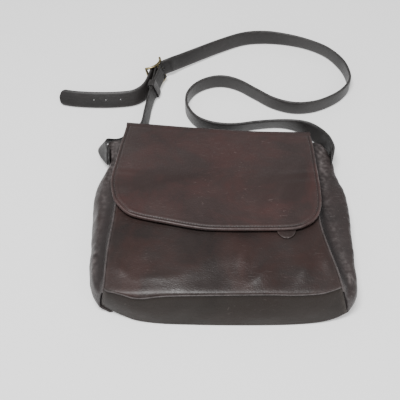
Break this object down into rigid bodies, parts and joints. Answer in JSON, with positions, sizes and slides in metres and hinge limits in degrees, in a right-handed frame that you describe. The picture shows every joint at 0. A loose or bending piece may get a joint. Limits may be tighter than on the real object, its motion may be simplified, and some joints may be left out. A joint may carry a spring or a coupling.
{
  "type": "sling bag",
  "caption": "Soft leather crossbody sling bag lying on its back, with a fold-over flap, outward gussets, pocket zip and a buckled shoulder strap coiled on edge behind it.",
  "frame": {"origin": "centre of the back panel's outer face, the face the bag lies on", "axes": "+X to the bag's right, +Y from the base to the fold of the flap, +Z out of the front"},
  "size_m": [0.3654, 0.4259, 0.0586],
  "materials": {
    "front_leather": "aged, semi-gloss, greyish dark brown",
    "flap_skin": "aged, semi-gloss, reddish dark brown",
    "piping_leather": "worn edge",
    "strap_leather": "satin, charcoal brown",
    "suede": "matte suede",
    "lining_cloth": "woven twill",
    "board": "pressed fibre board",
    "zip_tape": "woven tape",
    "zip_brass": "antique brass",
    "snap_metal": "antique brass",
    "buckle_brass": "dull antique brass"
  },
  "bodies": {
    "body": {"front_panel": "front_leather", "back_panel": "flap_skin", "base_panel": "front_leather", "left_gusset": "front_leather", "right_gusset": "front_leather", "left_piping": "piping_leather", "right_piping": "piping_leather", "base_piping": "piping_leather", "mouth_hem": "front_leather", "lining": "lining_cloth", "base_board": "board", "pocket_bag": "lining_cloth", "zip_tapes": "zip_tape", "zip_teeth": "zip_brass", "zip_stops": "zip_brass", "snap_socket": "snap_metal", "snap_socket_washer": "snap_metal", "left_root_patch": "strap_leather", "right_root_patch": "strap_leather"},
    "flap": {"flap_leather": "flap_skin", "flap_lining": "suede", "flap_edge_binding": "flap_skin", "snap_stud": "snap_metal"},
    "zip_slider": {"zip_slider": "zip_brass"},
    "pull": {"pull_link": "zip_brass", "pull_tab": "strap_leather"},
    "strap": {"long_strap": "strap_leather", "short_strap": "strap_leather"},
    "keeper": {"keeper_loop": "strap_leather"},
    "buckle": {"buckle_frame": "buckle_brass"},
    "prong": {"buckle_prong": "buckle_brass"}
  },
  "joints": [
    {"name": "flap_fold", "type": "hinge", "parent": "body", "child": "flap", "pos_m": [0, 0.1212, 0.02], "axis": [-0.998, 0.0628, 0], "range_deg": [0, 98]},
    {"name": "strap_swing", "type": "hinge", "parent": "body", "child": "strap", "pos_m": [0, 0.077, 0.026], "axis": [1, 0, 0], "range_deg": [0, 66]},
    {"name": "buckle_pivot", "type": "hinge", "parent": "strap", "child": "buckle", "pos_m": [-0.074, 0.2265, 0.0163], "axis": [-0.2401, 0.1945, 0.9511], "range_deg": [-4, 4]},
    {"name": "prong_pivot", "type": "hinge", "parent": "buckle", "child": "prong", "pos_m": [-0.074, 0.2265, 0.0163], "axis": [-0.2401, 0.1945, 0.9511], "range_deg": [0, 12]},
    {"name": "keeper_slide", "type": "slide", "parent": "strap", "child": "keeper", "axis": [0.2287, 0.9704, 0.0771], "range_m": [-0.003, 0.005]},
    {"name": "zip_slide", "type": "slide", "parent": "body", "child": "zip_slider", "axis": [-1, 0, 0], "range_m": [0, 0.115]},
    {"name": "tab_swing", "type": "hinge", "parent": "zip_slider", "child": "pull", "pos_m": [0.065, -0.027, 0.0514], "axis": [0, 0, 1], "range_deg": [-50, 50]}
  ]
}
